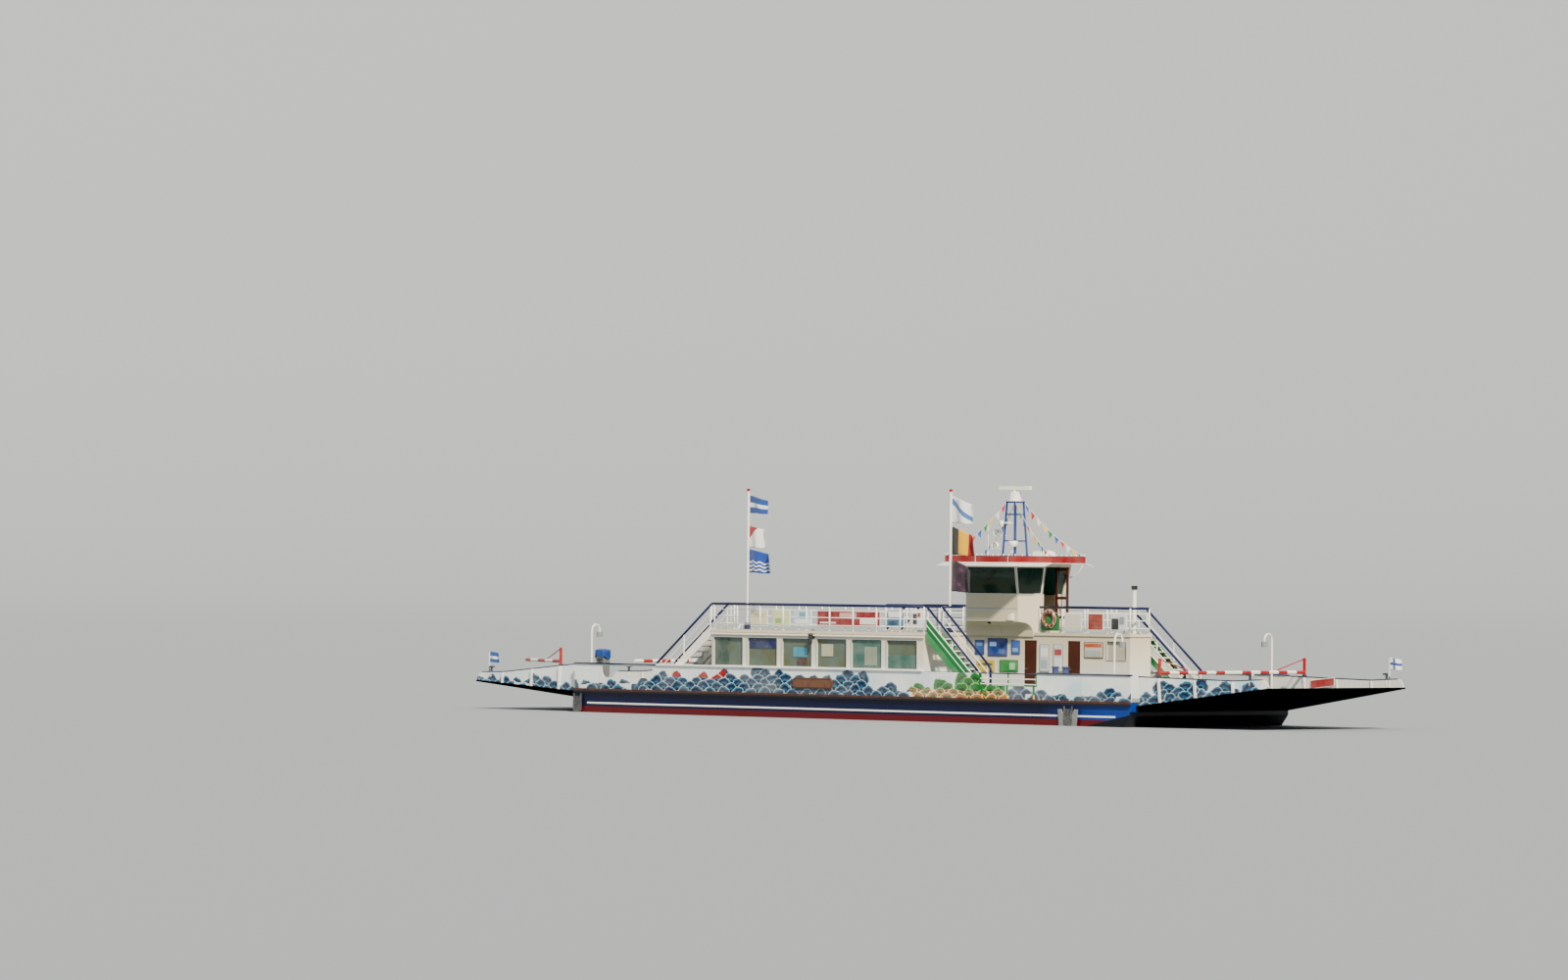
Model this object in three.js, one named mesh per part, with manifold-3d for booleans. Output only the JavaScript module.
// Double-ended passenger and car ferry, afloat, as a 1:2 scale model.
// Every size below is written in metres of the full-size boat; M turns it into model millimetres.
// +X runs along the boat, -Y is the side with the passenger cabin, +Z is up from the waterline.
import * as THREE from 'three';
import { mergeVertices } from 'three/addons/utils/BufferGeometryUtils.js';
import Module from 'manifold-3d';

const wasm = await Module();
wasm.setup();

const M = 500;
const seam = 0.0008;

// Hull
const hullHalfLength = 15.9;
const knuckleX = 10.9;
const hullHalfBeam = 4.9;
const endHalfBeam = 4.75;
const deckZ = 1.0;
const keelZ = -1.0;
// Underside of each end from the end face inward: distance from amidships and height
const rake = [[15.9, 0.45], [15.5, -0.05], [11.5, -0.34], [8.0, keelZ]];
const bilge = 0.4;

// Bulwark and its cap rail
const bulwarkTop = 2.05;
const bulwarkThickness = 0.06;
const capHeight = 0.05;
const capWidth = 0.14;
const lowBulwarkTop = 1.55;
const gateFromX = 7.8;
const bitts = [11.6, 12.15];
const bittTopZ = 2.36;
const sidePort = { x0: -14.2, x1: -11.05, z0: 1.5, z1: 1.98, corner: 0.25 };

// Houses and upper decks; the far house is the near one turned half round
const houseWall = 0.08;
const houseOuterY = -4.82;
const houseInnerY = -2.4;
const houseStepY = -3.66;
const houseLongX = -9.36;
const houseShortX = -7.6;
const houseEndX = 4.6;
const roofZ = 3.5;
const upperDeckZ = 3.62;
const windowSill = 2.13;
const windowHead = 3.29;
const windowWidth = 1.72;
const windowPitch = 2.0;
const firstWindowX = -7.5;
const outerWindows = 6;

// Rails and stairs
const railTopZ = 4.69;
const railBar = 0.05;
const lowerRails = [0.84, 0.56, 0.24];
const postPitch = 1.3;
const stairWidth = 1.0;
const stairSteps = 11;
const stairRail = 0.035;
const stairPost = 0.028;
const longStairFootX = -11.05;
const shortStairFootX = 7.65;
const farStair = { footX: 11.3, landing: 0.4 };

// Ramps
const rampAxisX = 16.12;
const rampAxisZ = 0.81;
const rampNose = 0.19;
const rampLength = 6.58;
const rampRootHalf = 4.45;
const rampTipHalf = 4.1;
const rampEdge = 0.06;
const rampRise = { left: 2.0, right: 5.9 };
const rampRibs = [1.08, 2.88, 4.78];
const tipStaff = { ahead: 0.18, height: 1.25, flagZ: 0.78, flagHeight: 0.46, fly: 0.55 };

// Wheelhouse
const cab = { x0: -0.06, x1: 4.26, y0: 1.87, y1: 4.6, cut: 0.7 };
const cabFloorZ = 4.06;
const cabSillZ = 5.19;
const paneTopZ = 6.33;
const cabHeadZ = 6.47;
const cabLean = 0.32;
const roof = { overhang: 0.88, visor: 0.4, visorDrop: 0.13, topZ: 6.76, plate: 0.04, farY: 5.0 };
const cabWall = 0.08;
const panePost = 0.045;
const helmAt = { x: 1.97, seatY: 3.35, deskHalf: 1.2 };

// Steerable propellers, one toward each end on opposite sides
const thruster = { x: 11.0, y: 2.4, seatZ: -0.52, axisZ: -1.12, arm: 0.32, blade: 0.42 };

const paint = {
  navy: '#0b1f5c',
  white: '#e4e6e2',
  cream: '#e9e2d2',
  brown: '#7a4a42',
  red: '#d8121a',
  blue: '#1b3f8f',
  green: '#0aa05a',
  grey: '#a8a69e',
  dark: '#20262b',
  wood: '#6b2f14',
  bronze: '#a8823c',
  glass: '#6f8a80',
  orange: '#e0552f',
};

const ferry = new THREE.Group();

function mesh(name, geometry, colour, roughness = 0.5, metalness = 0) {
  const material = new THREE.MeshStandardMaterial({ color: colour, roughness, metalness });
  const item = new THREE.Mesh(geometry, material);
  item.name = name;
  return item;
}

function solid(geometry) {
  const bare = geometry.clone();
  bare.deleteAttribute('normal');
  bare.deleteAttribute('uv');
  const merged = mergeVertices(bare, 0.01);
  const triangles = merged.index.array;
  const vertProperties = Float32Array.from(merged.attributes.position.array);
  const kept = [];
  for (let i = 0; i < triangles.length; i += 3) {
    const [a, b, c] = [triangles[i], triangles[i + 1], triangles[i + 2]];
    if (a !== b && b !== c && c !== a) kept.push(a, b, c);
  }
  return new wasm.Manifold(new wasm.Mesh({ numProp: 3, vertProperties, triVerts: Uint32Array.from(kept) }));
}

function geometryOf(body) {
  const result = body.getMesh();
  const geometry = new THREE.BufferGeometry();
  const positions = Float32Array.from(result.vertProperties);
  geometry.setAttribute('position', new THREE.BufferAttribute(positions, 3));
  geometry.setIndex(new THREE.BufferAttribute(Uint32Array.from(result.triVerts), 1));
  return geometry;
}

function join(...geometries) {
  return geometries.slice(1).reduce((sum, next) => sum.add(solid(next)), solid(geometries[0]));
}

// A box between two corners, in metres.
function box(x0, x1, y0, y1, z0, z1) {
  const geometry = new THREE.BoxGeometry((x1 - x0) * M, (y1 - y0) * M, (z1 - z0) * M);
  return geometry.translate(((x0 + x1) / 2) * M, ((y0 + y1) / 2) * M, ((z0 + z1) / 2) * M);
}

function outline(points) {
  return new THREE.Shape(points.map(([a, b]) => new THREE.Vector2(a * M, b * M)));
}

function extruded(shape, depth) {
  return new THREE.ExtrudeGeometry(shape, { depth: depth * M, bevelEnabled: false, curveSegments: 4 });
}

// Prisms: a plan outline (x, y) raised along Z, a profile (x, z) across Y, a section (y, z) along X.
function prismZ(shape, z0, z1) {
  return extruded(shape, z1 - z0).translate(0, 0, z0 * M);
}

function prismY(shape, y0, y1) {
  return extruded(shape, y1 - y0).rotateX(Math.PI / 2).translate(0, y1 * M, 0);
}

function prismX(shape, x0, x1) {
  const turn = new THREE.Matrix4().makeBasis(
    new THREE.Vector3(0, 1, 0),
    new THREE.Vector3(0, 0, 1),
    new THREE.Vector3(1, 0, 0),
  );
  return extruded(shape, x1 - x0).applyMatrix4(turn).translate(x0 * M, 0, 0);
}

// A round bar between two points given in metres.
function bar(from, to, radius, sides = 6) {
  const a = new THREE.Vector3(...from).multiplyScalar(M);
  const b = new THREE.Vector3(...to).multiplyScalar(M);
  const along = b.clone().sub(a);
  const geometry = new THREE.CylinderGeometry(radius * M, radius * M, along.length(), sides);
  const turn = new THREE.Quaternion().setFromUnitVectors(new THREE.Vector3(0, 1, 0), along.normalize());
  geometry.applyQuaternion(turn);
  const middle = a.add(b).multiplyScalar(0.5);
  return geometry.translate(middle.x, middle.y, middle.z);
}

// A counter-clockwise outline with every edge moved inward by t (outward if t is negative).
function inset(points, t) {
  const count = points.length;
  const edges = points.map(([x, y], i) => {
    const [nx, ny] = points[(i + 1) % count];
    const length = Math.hypot(nx - x, ny - y);
    const normal = [-(ny - y) / length, (nx - x) / length];
    return { at: [x + normal[0] * t, y + normal[1] * t], along: [nx - x, ny - y] };
  });
  return edges.map((edge, i) => {
    const before = edges[(i + count - 1) % count];
    const cross = before.along[0] * edge.along[1] - before.along[1] * edge.along[0];
    const gap = [edge.at[0] - before.at[0], edge.at[1] - before.at[1]];
    const step = (gap[0] * edge.along[1] - gap[1] * edge.along[0]) / cross;
    return [before.at[0] + before.along[0] * step, before.at[1] + before.along[1] * step];
  });
}

// A body between two convex outlines of as many points at two heights.
function loft(lower, z0, upper, z1) {
  const count = lower.length;
  const positions = [];
  for (const [x, y] of lower) positions.push(x * M, y * M, z0 * M);
  for (const [x, y] of upper) positions.push(x * M, y * M, z1 * M);
  const index = [];
  for (let i = 0; i < count; i += 1) {
    const next = (i + 1) % count;
    index.push(i, next, count + next, i, count + next, count + i);
  }
  for (let i = 1; i < count - 1; i += 1) {
    index.push(0, i + 1, i);
    index.push(count, count + i, count + i + 1);
  }
  const geometry = new THREE.BufferGeometry();
  geometry.setAttribute('position', new THREE.BufferAttribute(Float32Array.from(positions), 3));
  geometry.setIndex(index);
  return geometry;
}

function halfTurn(geometry) {
  return geometry.rotateZ(Math.PI);
}

// Half-breadth of the hull plan at x.
function halfBeamAt(x) {
  const run = Math.max(0, Math.abs(x) - knuckleX) / (hullHalfLength - knuckleX);
  return hullHalfBeam + (endHalfBeam - hullHalfBeam) * run;
}

function sideStrip(inner, outer) {
  const stations = [-hullHalfLength, -knuckleX, knuckleX, hullHalfLength];
  const outside = stations.map((x) => [x, -halfBeamAt(x) - outer]);
  const inside = stations.map((x) => [x, -halfBeamAt(x) + inner]).reverse();
  return outline([...outside, ...inside]);
}

function hull() {
  const plan = outline([
    [-hullHalfLength, -endHalfBeam], [-knuckleX, -hullHalfBeam], [knuckleX, -hullHalfBeam],
    [hullHalfLength, -endHalfBeam], [hullHalfLength, endHalfBeam], [knuckleX, hullHalfBeam],
    [-knuckleX, hullHalfBeam], [-hullHalfLength, endHalfBeam],
  ]);
  const profile = outline([
    ...rake.map(([x, z]) => [-x, z]), ...rake.map(([x, z]) => [x, z]).reverse(),
    [hullHalfLength, deckZ], [-hullHalfLength, deckZ],
  ]);
  const section = outline([
    [-hullHalfBeam, keelZ + bilge], [-hullHalfBeam + bilge, keelZ], [hullHalfBeam - bilge, keelZ],
    [hullHalfBeam, keelZ + bilge], [hullHalfBeam, deckZ], [-hullHalfBeam, deckZ],
  ]);
  let body = solid(prismZ(plan, keelZ, deckZ))
    .intersect(solid(prismY(profile, -hullHalfBeam, hullHalfBeam)))
    .intersect(solid(prismX(section, -hullHalfLength, hullHalfLength)));
  for (const end of [-1, 1]) {
    const [x, y] = [end * thruster.x, end * thruster.y];
    body = body.add(solid(bar([x, y, -0.1], [x, y, thruster.seatZ], 0.3, 14)));
  }
  ferry.add(mesh('hull', geometryOf(body), paint.navy, 0.4));
}

function strakes() {
  const near = prismZ(sideStrip(-seam, 0.1), 0.85, 1.01);
  ferry.add(mesh('rubbing_strake_near', near, paint.brown, 0.7));
  ferry.add(mesh('rubbing_strake_far', halfTurn(near.clone()), paint.brown, 0.7));
}

// One side's bulwark, with the long port at one end and the low gap for the gate at the other.
function bulwark() {
  const strip = prismZ(sideStrip(bulwarkThickness, 0), deckZ + seam, bulwarkTop);
  const port = new THREE.Shape();
  const { x0, x1, z0, z1, corner } = sidePort;
  port.moveTo(x0 * M, z1 * M);
  port.lineTo(x0 * M, (z0 + corner) * M);
  port.absarc((x0 + corner) * M, (z0 + corner) * M, corner * M, Math.PI, Math.PI * 1.5, false);
  port.absarc((x1 - corner) * M, (z0 + corner) * M, corner * M, Math.PI * 1.5, Math.PI * 2, false);
  port.lineTo(x1 * M, z1 * M);
  const cap = prismZ(sideStrip(capWidth - 0.04, 0.04), bulwarkTop - 0.01, bulwarkTop + capHeight);
  const body = solid(strip)
    .subtract(solid(prismY(port, -6, -4)))
    .add(solid(cap).subtract(solid(box(-knuckleX + 0.05, knuckleX, -6, -4, 2, 2.2))))
    .subtract(solid(box(gateFromX, knuckleX, -6, -4, lowBulwarkTop, 2.3)));
  return geometryOf(bitts.reduce((sum, x) => sum.add(bitt(x)), body));
}

// One post of a pair of mooring bitts, its head above the cap rail, tied to the bulwark by a knee.
function bitt(x) {
  const y = -halfBeamAt(x) + 0.36;
  return solid(bar([x, y, deckZ + seam], [x, y, bittTopZ], 0.13, 12))
    .add(solid(bar([x, y, bittTopZ - 0.06], [x, y, bittTopZ], 0.16, 12)))
    .add(solid(box(x - 0.04, x + 0.04, y - 0.33, y, 1.3, 1.7)));
}

function bulwarks() {
  const near = bulwark();
  ferry.add(mesh('bulwark_near', near, paint.white, 0.45));
  ferry.add(mesh('bulwark_far', halfTurn(near.clone()), paint.white, 0.45));
}

// The gate that closes the low gap: a railed frame hung on a post at the gap's inboard end.
function gate() {
  const y = -4.87;
  const [x0, x1] = [gateFromX + 0.06, knuckleX - 0.05];
  const [z0, z1] = [lowBulwarkTop + 0.06, 2.03];
  const bars = [];
  for (const x of [x0, (x0 + x1) / 2, x1]) bars.push(bar([x, y, z0 - 0.025], [x, y, z1 + 0.025], 0.03));
  for (const z of [z0, (z0 + z1) / 2, z1]) bars.push(bar([x0, y, z], [x1, y, z], 0.022));
  return geometryOf(join(...bars));
}

function gates() {
  const near = gate();
  ferry.add(mesh('gate_near', near, paint.green, 0.5));
  ferry.add(mesh('gate_far', halfTurn(near.clone()), paint.green, 0.5));
}

function ramp(rise) {
  const tipHalf = rampTipHalf;
  const halfAt = (x) => rampRootHalf + (tipHalf - rampRootHalf) * (Math.max(x, 0) / rampLength);
  const plan = outline([
    [-rampNose, -rampRootHalf], [0, -rampRootHalf], [rampLength, -tipHalf],
    [rampLength, tipHalf], [0, rampRootHalf], [-rampNose, rampRootHalf],
  ]);
  const profile = new THREE.Shape();
  profile.moveTo(rampLength * M, (rampNose - rampEdge) * M);
  profile.lineTo(rampLength * M, rampNose * M);
  profile.lineTo(0, rampNose * M);
  profile.absarc(0, 0, rampNose * M, Math.PI / 2, Math.PI * 1.5, false);
  const deck = solid(prismZ(plan, -0.3, 0.3)).intersect(solid(prismY(profile, -5, 5)));

  const wall = new THREE.Shape();
  wall.moveTo(0.02 * M, 0);
  wall.lineTo((rampLength - 0.02) * M, (rampNose - rampEdge + 0.01) * M);
  wall.absarc((rampLength - 0.5) * M, 0.14 * M, 0.45 * M, 0.05, Math.PI / 2, false);
  wall.lineTo(4.78 * M, 0.66 * M);
  wall.lineTo(0.02 * M, 1.24 * M);
  const strips = [-1, 1].map((side) => {
    const strip = outline([
      [0, side * halfAt(0)], [rampLength, side * halfAt(rampLength)],
      [rampLength, side * (halfAt(rampLength) - bulwarkThickness)], [0, side * (halfAt(0) - bulwarkThickness)],
    ]);
    return solid(prismZ(strip, -0.2, 1.3)).intersect(solid(prismY(wall, -5, 5)));
  });
  let body = strips.reduce((sum, next) => sum.add(next), deck);
  for (const x of rampRibs) {
    const top = 1.24 - (x / 4.78) * 0.58 - 0.03;
    for (const side of [-1, 1]) {
      const middle = side * halfAt(x);
      const rib = box(x - 0.04, x + 0.04, middle - 0.1, middle + 0.1, 0.05 + 0.02 * x, top);
      body = body.add(solid(rib));
    }
  }
  const turned = geometryOf(body);
  turned.rotateY(-THREE.MathUtils.degToRad(rise));
  return turned.translate(rampAxisX * M, 0, rampAxisZ * M);
}

// Foot of a barrier post on the ramp's bulwark, in the boat's frame before any half turn.
function barrierFoot(rise, side) {
  const angle = THREE.MathUtils.degToRad(rise);
  const [x, z] = [rampRibs[0], 1.11];
  const half = rampRootHalf + (rampTipHalf - rampRootHalf) * (x / rampLength) - bulwarkThickness / 2;
  return [
    rampAxisX + x * Math.cos(angle) - z * Math.sin(angle),
    side * half,
    rampAxisZ + x * Math.sin(angle) + z * Math.cos(angle) + 0.06,
  ];
}

function rampWithSockets(rise) {
  let body = solid(ramp(rise));
  for (const side of [-1, 1]) {
    const [x, y, z] = barrierFoot(rise, side);
    body = body.add(solid(bar([x, y, z - 0.25], [x, y, z], 0.09, 8)));
    const lug = tipPoint(rise, side);
    body = body.add(solid(bar([lug[0], lug[1], lug[2] - 0.2], [lug[0], lug[1], lug[2] + 0.28], 0.05, 8)));
    body = body.add(solid(box(lug[0] - 0.16, lug[0] + 0.16, lug[1] - 0.05, lug[1] + 0.05, lug[2] + 0.2, lug[2] + 0.27)));
  }
  const staffAt = tipPoint(rise, 1);
  const foot = [staffAt[0] + tipStaff.ahead, staffAt[1] - 0.04, staffAt[2] - 0.35];
  body = body.add(solid(bar(foot, [foot[0], foot[1], foot[2] + tipStaff.height], 0.025, 6)));
  return geometryOf(body);
}

// A point on the top of the ramp's bulwark near its tip.
function tipPoint(rise, side) {
  const angle = THREE.MathUtils.degToRad(rise);
  const [x, z] = [5.6, 0.57];
  const half = rampRootHalf + (rampTipHalf - rampRootHalf) * (x / rampLength) - bulwarkThickness / 2;
  return [
    rampAxisX + x * Math.cos(angle) - z * Math.sin(angle),
    side * half,
    rampAxisZ + x * Math.sin(angle) + z * Math.cos(angle),
  ];
}

function ramps() {
  ferry.add(mesh('ramp_right', rampWithSockets(rampRise.right), paint.white, 0.5));
  ferry.add(mesh('ramp_left', halfTurn(rampWithSockets(rampRise.left)), paint.white, 0.5));
}

// A half barrier: post, boom to the centreline and a stay, turned outward by swing degrees.
function barrier(rise, side, swing) {
  const [x, y, z] = barrierFoot(rise, side);
  const reach = Math.abs(y) - 0.03;
  const foot = z + seam;
  const body = join(
    bar([0, 0, foot], [0, 0, foot + 0.68], 0.065, 8),
    bar([0, 0, foot + 0.1], [0, reach, foot + 0.1], 0.072, 8),
    bar([0, 0, foot + 0.64], [0, reach * 0.45, foot + 0.12], 0.025, 5),
  );
  const geometry = geometryOf(body);
  if (side > 0) geometry.rotateZ(Math.PI);
  geometry.rotateZ((side > 0 ? 1 : -1) * THREE.MathUtils.degToRad(swing));
  return geometry.translate(x * M, y * M, 0);
}

function barriers() {
  // name, end of the boat, side before the half turn, degrees swung out toward the tip
  const table = [
    ['barrier_right_near', 'right', -1, 0],
    ['barrier_right_far', 'right', 1, 0],
    ['barrier_left_near', 'left', 1, 66],
    ['barrier_left_far', 'left', -1, 0],
  ];
  for (const [name, end, side, swing] of table) {
    const geometry = barrier(rampRise[end], side, swing);
    ferry.add(mesh(name, end === 'left' ? halfTurn(geometry) : geometry, paint.red, 0.45));
  }
}

// Plan of a house: long along the lane, stepped where the stair comes up outside.
const housePlan = [
  [houseShortX, houseOuterY], [houseEndX, houseOuterY], [houseEndX, houseInnerY],
  [houseLongX, houseInnerY], [houseLongX, houseStepY], [houseShortX, houseStepY],
];

function house(innerOpenings) {
  let body = solid(prismZ(outline(housePlan), deckZ + seam, roofZ))
    .subtract(solid(prismZ(outline(inset(housePlan, houseWall)), deckZ - 0.1, roofZ + 0.1)));
  for (let i = 0; i < outerWindows; i += 1) {
    const x = firstWindowX + i * windowPitch;
    body = body.subtract(solid(box(x, x + windowWidth, houseOuterY - 0.2, houseOuterY + 0.3, windowSill, windowHead)));
  }
  for (const [x0, x1, z0, z1] of innerOpenings) {
    body = body.subtract(solid(box(x0, x1, houseInnerY - 0.3, houseInnerY + 0.2, z0, z1)));
  }
  return geometryOf(body);
}

// One band of panes behind all of a house's windows, open where its doors are.
function houseGlass(doorSpan) {
  const outside = inset(housePlan, houseWall + seam);
  const inside = inset(housePlan, houseWall + 0.03);
  const band = solid(prismZ(outline(outside), windowSill - 0.06, windowHead + 0.06))
    .subtract(solid(prismZ(outline(inside), windowSill - 0.2, windowHead + 0.2)))
    .subtract(solid(box(doorSpan[0], doorSpan[1], houseInnerY - 0.4, houseInnerY + 0.2, 1, 4)));
  return geometryOf(band);
}

function upperDeck() {
  return prismZ(outline(inset(housePlan, -0.04)), roofZ + seam, upperDeckZ);
}

const doorTop = 3.3;
const doorFoot = 1.12;
// Inner-wall openings, in the frame of the near house: x0, x1, z0, z1
const nearInner = [
  [-7.4, -5.75, windowSill, windowHead], [-5.4, -3.75, windowSill, windowHead],
  [-3.0, -2.2, doorFoot, doorTop], [-1.4, 0.25, windowSill, windowHead],
  [0.6, 2.25, windowSill, windowHead], [2.6, 4.25, windowSill, windowHead],
];
const farInner = [
  [-9.16, -8.08, 2.55, 3.3], [-6.6, -5.9, doorFoot, doorTop], [-4.16, -3.46, doorFoot, doorTop],
];

function houseDoor(x0, x1) {
  const y = houseInnerY - 0.06;
  const leaf = box(x0 + 0.015, x1 - 0.015, y, y + 0.05, doorFoot + 0.015, doorTop - 0.015);
  return leaf;
}

function houses() {
  ferry.add(mesh('cabin_near', house(nearInner), paint.cream, 0.5));
  ferry.add(mesh('cabin_far', halfTurn(house(farInner)), paint.cream, 0.5));
  ferry.add(mesh('cabin_glass_near', houseGlass([-3.1, -2.1]), paint.glass, 0.1));
  ferry.add(mesh('cabin_glass_far', halfTurn(houseGlass([-6.75, -3.3])), paint.glass, 0.1));
  ferry.add(mesh('upper_deck_near', upperDeck(), paint.cream, 0.6));
  ferry.add(mesh('upper_deck_far', halfTurn(upperDeck()), paint.cream, 0.6));
  ferry.add(mesh('cabin_door_near', houseDoor(-3.0, -2.2), paint.wood, 0.5));
  ferry.add(mesh('cabin_door_far_a', halfTurn(houseDoor(-4.16, -3.46)), paint.wood, 0.5));
  ferry.add(mesh('cabin_door_far_b', halfTurn(houseDoor(-6.6, -5.9)), paint.wood, 0.5));
}

// A guard rail along a path of corners: posts, a top rail and rails between.
function railing(path, baseZ) {
  const bars = [];
  const heights = [railTopZ, ...lowerRails.map((up) => baseZ + up)];
  path.slice(1).forEach(([x1, y1], i) => {
    const [x0, y0] = path[i];
    for (const z of heights) {
      const radius = z === railTopZ ? railBar / 2 : railBar / 2 - 0.006;
      bars.push(bar([x0, y0, z - 0.02], [x1, y1, z - 0.02], radius, 4));
    }
    const length = Math.hypot(x1 - x0, y1 - y0);
    const spans = Math.max(1, Math.round(length / postPitch));
    for (let k = i === 0 ? 0 : 1; k <= spans; k += 1) {
      const at = [x0 + ((x1 - x0) * k) / spans, y0 + ((y1 - y0) * k) / spans];
      bars.push(box(at[0] - 0.028, at[0] + 0.028, at[1] - 0.028, at[1] + 0.028, baseZ + seam, railTopZ));
    }
  });
  return geometryOf(join(...bars));
}

function railings() {
  const outer = railing([[houseShortX + 0.1, houseOuterY + 0.04], [houseEndX - 0.05, houseOuterY + 0.04]], upperDeckZ);
  const inner = railing([
    [houseEndX - 0.05, houseOuterY + stairWidth + 0.1], [houseEndX - 0.05, houseInnerY - 0.05],
    [houseLongX + 0.5, houseInnerY - 0.05], [houseLongX + 0.5, houseStepY + 0.05],
    [houseShortX + 0.1, houseStepY + 0.05],
  ], upperDeckZ);
  ferry.add(mesh('rail_near_outer', outer, paint.white, 0.4));
  ferry.add(mesh('rail_near_inner', inner, paint.white, 0.4));
  ferry.add(mesh('rail_far_outer', halfTurn(outer.clone()), paint.white, 0.4));
  const farInnerRail = railing([
    [houseEndX - 0.05, houseOuterY + stairWidth + 0.1], [houseEndX - 0.05, houseInnerY - 0.05],
    [-cab.x0 + 0.03, houseInnerY - 0.05],
  ], upperDeckZ);
  const farInnerEnd = railing([
    [-cab.x1 - 0.02, houseInnerY - 0.05], [houseLongX + 0.05, houseInnerY - 0.05],
    [houseLongX + 0.05, houseStepY + 0.05], [houseShortX + 0.1, houseStepY + 0.05],
  ], upperDeckZ);
  ferry.add(mesh('rail_far_left', halfTurn(farInnerRail), paint.white, 0.4));
  ferry.add(mesh('rail_far_right', halfTurn(farInnerEnd), paint.white, 0.4));
}

// A stair from the upper deck at x0 down to the main deck at x1, between two y values, with a level
// landing of the given length at its head. The handrail toward the lane ends higher than the other.
function stair(x0, x1, y0, y1, landing) {
  const way = Math.sign(x1 - x0);
  const head = x0 + way * landing;
  const run = Math.abs(x1 - head);
  const drop = upperDeckZ - deckZ;
  const string = outline([
    [x0 + way * 0.02, upperDeckZ], [x0 + way * 0.02, upperDeckZ - 0.3], [head + way * 0.02, upperDeckZ - 0.3],
    [x1 - way * 0.25, deckZ + seam], [x1, deckZ + seam], [x1, deckZ + 0.12], [head + way * 0.25, upperDeckZ],
  ]);
  const parts = [prismY(string, y0, y0 + 0.04), prismY(string, y1 - 0.04, y1)];
  if (landing > 0) {
    const [from, to] = way > 0 ? [x0 + 0.02, head + 0.28] : [head - 0.28, x0 - 0.02];
    parts.push(box(from, to, y0 + 0.02, y1 - 0.02, upperDeckZ - 0.04, upperDeckZ));
  }
  for (let i = 1; i < stairSteps; i += 1) {
    const x = head + way * (run * i) / stairSteps;
    const z = upperDeckZ - (drop * i) / stairSteps;
    const [from, to] = way > 0 ? [x, x + 0.28] : [x - 0.28, x];
    parts.push(box(from, to, y0 + 0.02, y1 - 0.02, z - 0.04, z));
  }
  const slope = (railTopZ - 0.03 - (deckZ + 1.12)) / (run - 0.15);
  for (const [y, short] of [[y0 + 0.05, 0.1], [y1 - 0.05, 0.35]]) {
    const top = [head + way * 0.05, y, railTopZ - 0.03];
    const foot = [x1 - way * short, y, deckZ + 1.12 + (short - 0.1) * slope];
    parts.push(bar(top, foot, stairRail, 6));
    if (landing > 0) {
      const start = [x0 + way * 0.06, y, railTopZ - 0.03];
      parts.push(bar(start, top, stairRail, 6), bar([start[0], y, upperDeckZ - 0.1], start, stairPost, 6));
    }
    for (const f of [0.02, 0.5, 0.98]) {
      const px = top[0] + (foot[0] - top[0]) * f;
      const pz = top[2] + (foot[2] - top[2]) * f;
      parts.push(bar([px, y, pz - 1.04], [px, y, pz], stairPost, 6));
    }
  }
  return geometryOf(join(...parts));
}

function stairs() {
  const outer = houseOuterY + 0.02;
  const long = stair(houseShortX - 0.05, longStairFootX, outer, outer + 1.08, 0);
  const far = stair(houseShortX - 0.05, -farStair.footX, outer, outer + stairWidth, farStair.landing);
  const short = stair(houseEndX + 0.05, shortStairFootX, outer, outer + stairWidth, 0);
  ferry.add(mesh('stair_near_left', long, paint.white, 0.5));
  ferry.add(mesh('stair_near_middle', short, paint.white, 0.5));
  ferry.add(mesh('stair_far_right', halfTurn(far), paint.white, 0.5));
  ferry.add(mesh('stair_far_middle', halfTurn(short.clone()), paint.white, 0.5));
}

// Eight-sided plan of the wheelhouse, counter-clockwise from the near face.
const cabPlan = [
  [cab.x0 + cab.cut, cab.y0], [cab.x1 - cab.cut, cab.y0], [cab.x1, cab.y0 + cab.cut],
  [cab.x1, cab.y1 - cab.cut], [cab.x1 - cab.cut, cab.y1], [cab.x0 + cab.cut, cab.y1],
  [cab.x0, cab.y1 - cab.cut], [cab.x0, cab.y0 + cab.cut],
];
const cabDoor = { y0: 2.69, y1: 3.44, z0: 4.18, z1: 6.3, leaf: 0.05, gap: 0.015 };

// How far the window walls lean out at height z.
function leanAt(z) {
  return (cabLean * (z - cabSillZ)) / (cabHeadZ - cabSillZ);
}

function cabShape(offset, z0, z1) {
  const lower = loft(inset(cabPlan, offset), z0, inset(cabPlan, offset), cabSillZ);
  const upper = loft(inset(cabPlan, offset), cabSillZ, inset(cabPlan, offset - leanAt(z1)), z1);
  return solid(lower).add(solid(upper));
}

// Plan of one window opening through the wall at height z; it widens as the wall leans out.
function paneAt(side, z) {
  const corners = inset(cabPlan, -leanAt(z));
  const [x0, y0] = corners[side];
  const [x1, y1] = corners[(side + 1) % corners.length];
  const length = Math.hypot(x1 - x0, y1 - y0);
  const [dx, dy] = [(x1 - x0) / length, (y1 - y0) / length];
  const at = (along, inward) => [x0 + dx * along - dy * inward, y0 + dy * along + dx * inward];
  const [from, to] = [panePost, length - panePost];
  return [at(from, -0.3), at(to, -0.3), at(to, 0.25), at(from, 0.25)];
}

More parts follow.
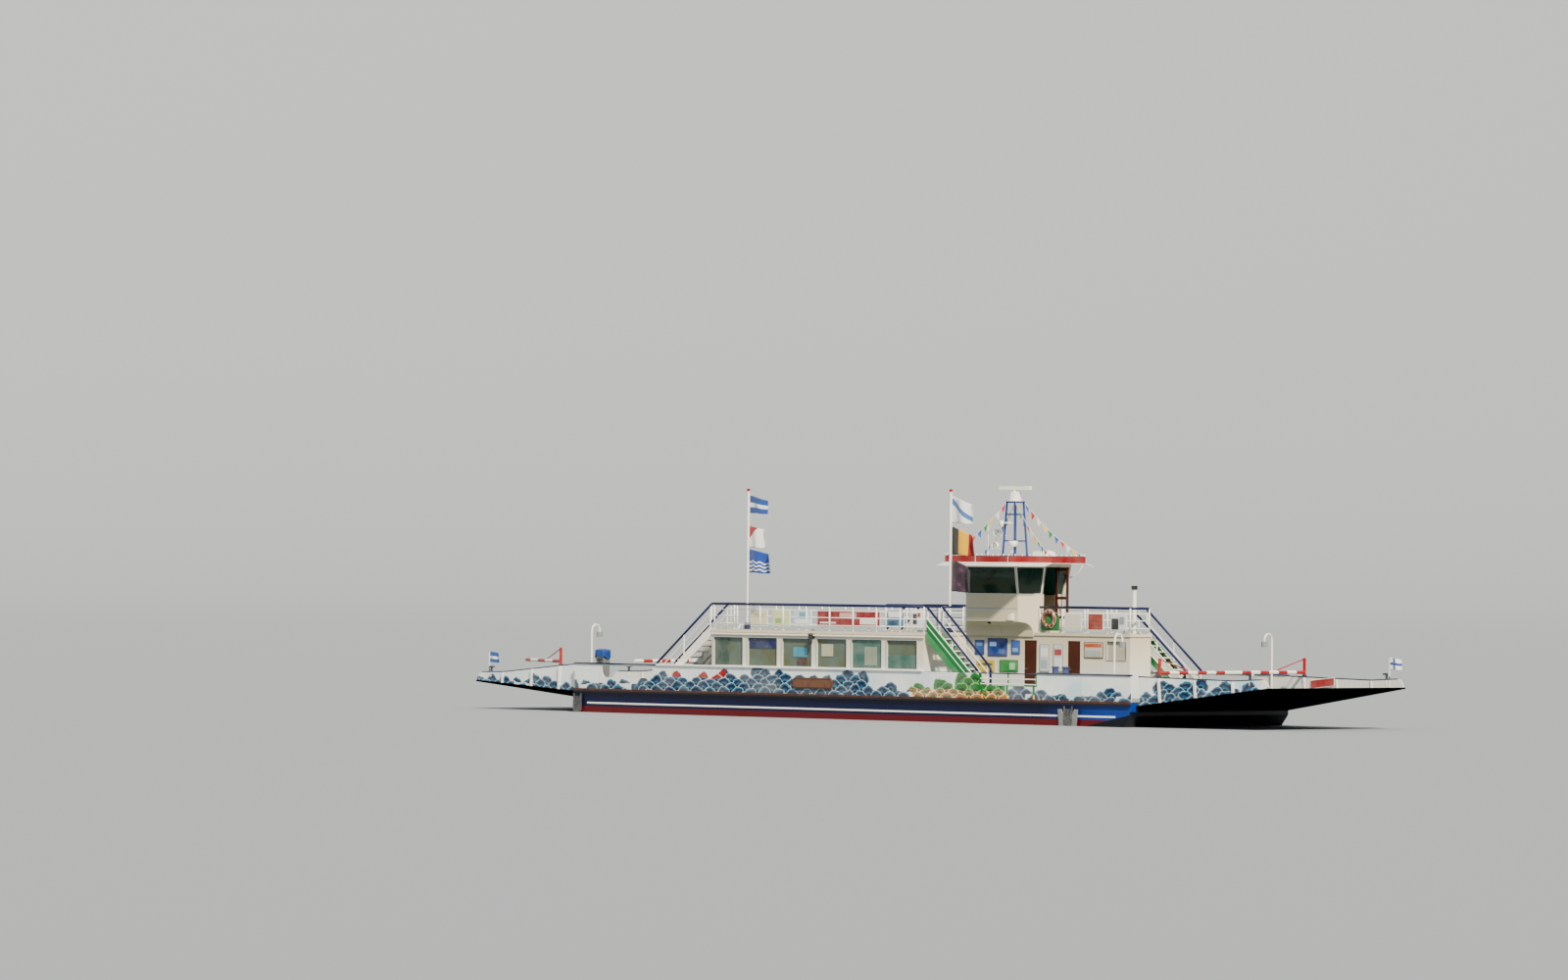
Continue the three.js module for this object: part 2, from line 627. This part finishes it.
function wheelhouse() {
  let body = cabShape(0, cabFloorZ, cabHeadZ).subtract(cabShape(cabWall, cabFloorZ + 0.1, cabHeadZ + 0.1));
  for (let i = 0; i < cabPlan.length; i += 1) {
    const pane = loft(paneAt(i, cabSillZ + 0.02), cabSillZ + 0.02, paneAt(i, paneTopZ), paneTopZ);
    body = body.subtract(solid(pane));
  }
  const { y0, y1, z0, z1 } = cabDoor;
  body = body.subtract(solid(box(cab.x1 - 0.3, cab.x1 + 0.5, y0, y1, z0, z1)));
  ferry.add(mesh('wheelhouse', geometryOf(body), paint.cream, 0.5));
}

// The plinth on the upper deck, and the cove that carries the part over the lane down to the house's wall.
function wheelhouseFoot() {
  const deckEdge = -houseInnerY - 0.04 - 0.01;
  const coveZ = roofZ - 0.05;
  const topZ = cabFloorZ - seam;
  const lip = 0.01;
  const section = new THREE.Shape();
  section.moveTo(cab.y1 * M, topZ * M);
  section.lineTo((cab.y0 + 0.08) * M, topZ * M);
  section.lineTo((cab.y0 + 0.08) * M, (topZ - lip) * M);
  section.quadraticCurveTo((deckEdge - 0.01) * M, (topZ - lip - 0.002) * M, (deckEdge - 0.01) * M, coveZ * M);
  section.lineTo(deckEdge * M, coveZ * M);
  section.lineTo(deckEdge * M, (upperDeckZ + seam) * M);
  section.lineTo(cab.y1 * M, (upperDeckZ + seam) * M);
  const foot = solid(prismX(section, cab.x0, cab.x1)).intersect(solid(prismZ(outline(cabPlan), 3, 5)));
  ferry.add(mesh('wheelhouse_foot', geometryOf(foot), paint.cream, 0.5));
}

function wheelhouseGlass() {
  const floor = cabSillZ - 0.03;
  const inner = cabWall + 0.005;
  const ring = (offset, z0, z1) => {
    const [foot, head] = [offset - leanAt(z0), offset - leanAt(z1)];
    return solid(loft(inset(cabPlan, foot), z0, inset(cabPlan, head), z1));
  };
  const band = ring(inner, floor, cabHeadZ - 0.02).subtract(ring(inner + 0.025, floor - 0.1, cabHeadZ + 0.1))
    .subtract(solid(box(cab.x1 - 0.4, cab.x1 + 0.5, cabDoor.y0 - 0.03, cabDoor.y1 + 0.03, 5, 7)));
  ferry.add(mesh('wheelhouse_glass', geometryOf(band), paint.dark, 0.08));
}

// A flat plate whose rim slopes down as a visor, with the upright red fascia box standing on it;
// the visor is cut off at the far edge and toward the right end.
function wheelhouseRoof() {
  const underZ = cabHeadZ + 0.01;
  const rim = inset(cabPlan, -roof.overhang - roof.visor);
  const shell = solid(loft(rim, underZ - roof.visorDrop, inset(cabPlan, -roof.overhang + 0.02), underZ + roof.plate));
  const visor = shell.subtract(shell.translate([0, 0, -roof.plate * M]));
  const fascia = loft(inset(cabPlan, -roof.overhang), underZ + 0.02, inset(cabPlan, -roof.overhang), roof.topZ);
  const flush = solid(box(-8, cab.x1 + roof.overhang, 0, roof.farY, 6, 7));
  ferry.add(mesh('wheelhouse_roof', geometryOf(visor.add(solid(fascia)).intersect(flush)), paint.red, 0.4));
}

// The door stands open, square to the wall, hung on the side of its opening away from the lane.
function wheelhouseDoor() {
  const { y0, y1, z0, z1, leaf, gap } = cabDoor;
  const width = y1 - y0 - 2 * gap - 0.01;
  const plate = box(cab.x1 + gap, cab.x1 + gap + width, y1 - gap - leaf, y1 - gap, z0 + gap, z1 - gap);
  const panes = [[z0 + 0.14, cabSillZ - 0.2], [cabSillZ - 0.08, z1 - 0.13]];
  let body = solid(plate);
  for (const [from, to] of panes) {
    body = body.subtract(solid(box(cab.x1 + gap + 0.11, cab.x1 + gap + width - 0.11, y0, y1 + 0.1, from, to)));
  }
  ferry.add(mesh('wheelhouse_door', geometryOf(body), paint.wood, 0.5));
}

function helm() {
  const floor = cabFloorZ + 0.1 + seam;
  const { x: cx, seatY, deskHalf } = helmAt;
  const desk = join(
    box(cx - deskHalf, cx + deskHalf, 2.15, 2.65, floor, 4.98),
    box(cx - deskHalf, cx + deskHalf, 2.15, 2.4, 4.9, 5.16),
    box(cx - 0.5, cx + 0.5, 2.6, 3.7, floor, floor + 0.05),
    bar([cx, seatY, floor], [cx, seatY, 4.62], 0.07, 8),
    box(cx - 0.28, cx + 0.28, seatY - 0.25, seatY + 0.28, 4.57, 4.72),
    box(cx - 0.26, cx + 0.26, seatY + 0.18, seatY + 0.3, 4.68, 5.35),
  );
  ferry.add(mesh('helm_console', geometryOf(desk), paint.dark, 0.6));
}

const mastAt = [2.13, 3.2];
const mastTopZ = 9.04;
const mastHalf = { foot: 0.36, top: 0.24, leg: 0.045 };
const mastFrames = [7.4, 8.5, mastTopZ - 0.03];

// Half width of the lattice, between the middles of its legs, at height z.
function mastReach(z) {
  return mastHalf.foot + ((mastHalf.top - mastHalf.foot) * (z - roof.topZ)) / (mastTopZ - roof.topZ);
}

function mast() {
  const [cx, cy] = mastAt;
  const foot = roof.topZ + seam;
  const parts = [box(cx - 0.42, cx + 0.42, cy - 0.42, cy + 0.42, foot, foot + 0.03)];
  for (const [sx, sy] of [[-1, -1], [1, -1], [1, 1], [-1, 1]]) {
    const from = [cx + sx * mastHalf.foot, cy + sy * mastHalf.foot, foot + 0.01];
    parts.push(bar(from, [cx + sx * mastHalf.top, cy + sy * mastHalf.top, mastTopZ], mastHalf.leg, 6));
  }
  for (const z of mastFrames) {
    const [out, hole] = [mastReach(z) + 0.03, mastReach(z) - 0.03];
    const frame = solid(box(cx - out, cx + out, cy - out, cy + out, z - 0.03, z + 0.03))
      .subtract(solid(box(cx - hole, cx + hole, cy - hole, cy + hole, z - 1, z + 1)));
    parts.push(geometryOf(frame));
  }
  parts.push(box(cx - 0.29, cx + 0.29, cy - 0.29, cy + 0.29, mastTopZ - 0.03, mastTopZ + 0.02));
  const pedestal = new THREE.CylinderGeometry(0.22 * M, 0.28 * M, 0.4 * M, 14).rotateX(Math.PI / 2);
  parts.push(pedestal.translate(cx * M, cy * M, (mastTopZ + 0.21) * M));
  ferry.add(mesh('mast', geometryOf(join(...parts)), paint.blue, 0.4));
  const scannerZ = mastTopZ + 0.41;
  const scanner = join(
    bar([cx, cy, scannerZ + seam], [cx, cy, scannerZ + 0.1], 0.08, 10),
    box(cx - 0.85, cx + 0.85, cy - 0.08, cy + 0.08, scannerZ + 0.08, scannerZ + 0.22),
  );
  ferry.add(mesh('radar_scanner', geometryOf(scanner), paint.white, 0.35));
}

const hatch = { x: 3.78, y: 3.2, halfLength: 0.375, halfWidth: 0.3, height: 0.22 };
const pipe = { x: 8.62, y: 3.45, bore: 0.09, cap: 0.13, capZ: 5.45, topZ: 5.6 };
const staff = { socket: 0.095, socketTop: 0.26, radius: 0.045, topZ: 9.4, cap: 0.07, hoist: 0.075, line: 0.012 };

function roofHatch() {
  const { halfLength: a, height: h } = hatch;
  const slope = outline([[-a, 0], [a, 0], [a - 0.03, h * 0.7], [a - 0.13, h], [0.06 - a, h], [0.02 - a, h * 0.7]]);
  const lid = prismY(slope, -hatch.halfWidth, hatch.halfWidth);
  lid.translate(hatch.x * M, hatch.y * M, (roof.topZ + seam) * M);
  ferry.add(mesh('roof_hatch', lid, paint.white, 0.4));
}

function exhaust() {
  const { x, y } = pipe;
  const body = join(
    bar([x, y, upperDeckZ + seam], [x, y, pipe.capZ], pipe.bore, 12),
    bar([x, y, pipe.capZ - 0.01], [x, y, pipe.topZ], pipe.cap, 12),
  );
  ferry.add(mesh('exhaust_pipe', geometryOf(body), paint.white, 0.4));
}

function flagpoles() {
  // name of pole, name of its flags, x, y, bottom and top of each flag and its fly
  const table = [
    ['flagpole_left', 'flags_left', -6.8, -3.55, [[8.5, 9.1, 0.75], [7.1, 7.8, 0.7], [6.1, 6.95, 1.05]]],
    ['flagpole_right', 'flags_right', 3.98, -2.65, [[8.1, 9.2, 1.08], [6.8, 7.95, 1.28], [5.3, 6.6, 1.22]]],
  ];
  for (const [pole, flags, x, y, cloths] of table) {
    const foot = upperDeckZ + seam;
    const stem = join(
      box(x - staff.socket, x + staff.socket, y - staff.socket, y + staff.socket, foot, upperDeckZ + staff.socketTop),
      bar([x, y, upperDeckZ + 0.2], [x, y, staff.topZ], staff.radius, 8),
      bar([x, y, staff.topZ - 0.02], [x, y, staff.topZ + 0.08], staff.cap, 8),
    );
    ferry.add(mesh(pole, geometryOf(stem), paint.white, 0.4));
    const hoist = x + staff.hoist;
    const lowest = cloths[cloths.length - 1][0];
    const parts = [bar([hoist, y, lowest], [hoist, y, cloths[0][1]], staff.line, 5)];
    for (const [z0, z1, fly] of cloths) parts.push(box(hoist, hoist + fly, y - 0.01, y + 0.01, z0 + 0.01, z1 - 0.01));
    ferry.add(mesh(flags, geometryOf(join(...parts)), paint.blue, 0.9));
  }
}

// A small flag on one tip of each ramp; both fly toward +X.
function tipFlags() {
  for (const [name, end] of [['flag_tip_right', 'right'], ['flag_tip_left', 'left']]) {
    const at = tipPoint(rampRise[end], 1);
    const way = end === 'left' ? -1 : 1;
    const x = way * (at[0] + tipStaff.ahead) + 0.035;
    const y = way * (at[1] - 0.04);
    const z = at[2] - 0.35 + tipStaff.flagZ;
    const cloth = box(x, x + tipStaff.fly, y - 0.01, y + 0.01, z, z + tipStaff.flagHeight);
    ferry.add(mesh(name, cloth, paint.white, 0.9));
  }
}

const ring = { x: 4.9, z: 4.2, radius: 0.31, tube: 0.06 };

function lifebuoy() {
  const torus = new THREE.TorusGeometry(ring.radius * M, ring.tube * M, 6, 16).rotateX(Math.PI / 2);
  torus.translate(ring.x * M, (-houseInnerY - 0.08) * M, ring.z * M);
  ferry.add(mesh('lifebuoy', torus, paint.orange, 0.6));
}

const lampPole = { y: -4.6, height: 2.5, bend: 0.23, radius: 0.04, shade: 0.13 };

// A swan-necked deck lamp; the neck bends inboard.
function lamp(x) {
  const { height, bend, radius } = lampPole;
  const path = new THREE.CurvePath();
  path.add(new THREE.LineCurve3(new THREE.Vector3(0, 0, 0), new THREE.Vector3(0, 0, height * M)));
  const points = [0, 0.25, 0.5, 0.75, 1].map((t) => {
    const angle = Math.PI * t;
    return new THREE.Vector3(0, (bend - bend * Math.cos(angle)) * M, (height + bend * Math.sin(angle)) * M);
  });
  points.slice(1).forEach((point, i) => path.add(new THREE.LineCurve3(points[i], point)));
  const section = new THREE.Shape();
  section.absarc(0, 0, radius * M, 0, Math.PI * 2, false);
  const stem = new THREE.ExtrudeGeometry(section, { steps: 16, curveSegments: 3, extrudePath: path, bevelEnabled: false });
  const over = 2 * bend;
  const shade = bar([0, over, height - 0.33], [0, over, height - 0.11], lampPole.shade, 8);
  const drop = bar([0, over, height - 0.15], [0, over, height + 0.05], radius - 0.005, 6);
  const foot = bar([0, 0, 0], [0, 0, 0.03], 0.1, 8);
  const body = join(stem, drop, shade, foot);
  return geometryOf(body).translate(x * M, lampPole.y * M, (deckZ + seam) * M);
}

function lamps() {
  const table = [['lamp_left_near', -15.03, false], ['lamp_right_near', 14.87, false],
    ['lamp_left_far', 15.0, true], ['lamp_right_far', -15.12, true]];
  for (const [name, x, turned] of table) {
    const geometry = lamp(x);
    ferry.add(mesh(name, turned ? halfTurn(geometry) : geometry, paint.white, 0.4));
  }
}

// An anchor stowed flat against the side: shank up, two flukes.
function anchors() {
  for (const [name, x, z] of [['anchor_left', -15.62, 0.2], ['anchor_right', 12.7, 0.2]]) {
    const y = -halfBeamAt(x) - 0.07;
    const fluke = outline([
      [-0.24, -0.1], [-0.22, 0.6], [-0.08, 0.2], [0.08, 0.2], [0.22, 0.6], [0.24, -0.1], [0.08, -0.35], [-0.08, -0.35],
    ]);
    const body = join(
      prismY(fluke, y - 0.06, y + 0.02).translate(x * M, 0, z * M),
      box(x - 0.06, x + 0.06, y - 0.05, y + 0.01, z, z + 0.48),
    );
    ferry.add(mesh(name, geometryOf(body), paint.grey, 0.6, 0.5));
  }
}

const winch = { y: -3.9, halfLength: 0.25, halfWidth: 0.22, drum: 0.22 };

// An anchor winch on two frames; its upper half is the round hump that a cover hangs over.
function winches() {
  const { y, halfLength: a, halfWidth: b, drum } = winch;
  // name, x, height of the drum's middle
  const table = [['winch_left', -15.07, 2.4], ['winch_right', 13.0, 1.72]];
  for (const [name, x, drumZ] of table) {
    const body = join(
      box(x - a, x + a, y - b, y + b, deckZ + seam, deckZ + 0.08),
      box(x - a + 0.02, x - a + 0.08, y - b + 0.04, y + b - 0.04, deckZ + 0.05, drumZ + 0.15),
      box(x + a - 0.08, x + a - 0.02, y - b + 0.04, y + b - 0.04, deckZ + 0.05, drumZ + 0.15),
      bar([x - a + 0.03, y, drumZ], [x + a - 0.03, y, drumZ], drum, 14),
    );
    ferry.add(mesh(name, geometryOf(body), paint.blue, 0.5));
  }
}

// Steerable propeller leg under the raked bottom, and its screw.
function thrusters() {
  const { x, y, seatZ, axisZ, arm, blade } = thruster;
  const leg = join(
    bar([0, 0, seatZ - 0.07], [0, 0, seatZ - 0.012], 0.28, 14),
    bar([0, 0, axisZ], [0, 0, seatZ - 0.05], 0.11, 10),
    bar([-0.3, 0, axisZ], [arm - 0.06, 0, axisZ], 0.13, 12),
  );
  const blades = [bar([arm - 0.06 + seam, 0, axisZ], [arm + 0.16, 0, axisZ], 0.1, 12)];
  for (let i = 0; i < 4; i += 1) {
    const plate = box(-0.012, 0.012, -0.1, 0.1, 0.05, blade);
    plate.rotateZ(0.6).rotateX((i * Math.PI) / 2).translate((arm + 0.05) * M, 0, axisZ * M);
    blades.push(plate);
  }
  const screw = geometryOf(join(...blades));
  const drive = geometryOf(leg);
  const place = (geometry) => geometry.translate(x * M, y * M, 0);
  ferry.add(mesh('thruster_right', place(drive.clone()), paint.grey, 0.4, 0.5));
  ferry.add(mesh('propeller_right', place(screw.clone()), paint.bronze, 0.3, 0.9));
  ferry.add(mesh('thruster_left', halfTurn(place(drive)), paint.grey, 0.4, 0.5));
  ferry.add(mesh('propeller_left', halfTurn(place(screw)), paint.bronze, 0.3, 0.9));
}

hull();
strakes();
bulwarks();
gates();
ramps();
barriers();
houses();
railings();
stairs();
wheelhouse();
wheelhouseFoot();
wheelhouseGlass();
wheelhouseRoof();
wheelhouseDoor();
helm();
mast();
roofHatch();
exhaust();
flagpoles();
tipFlags();
lifebuoy();
lamps();
anchors();
winches();
thrusters();

export default ferry;
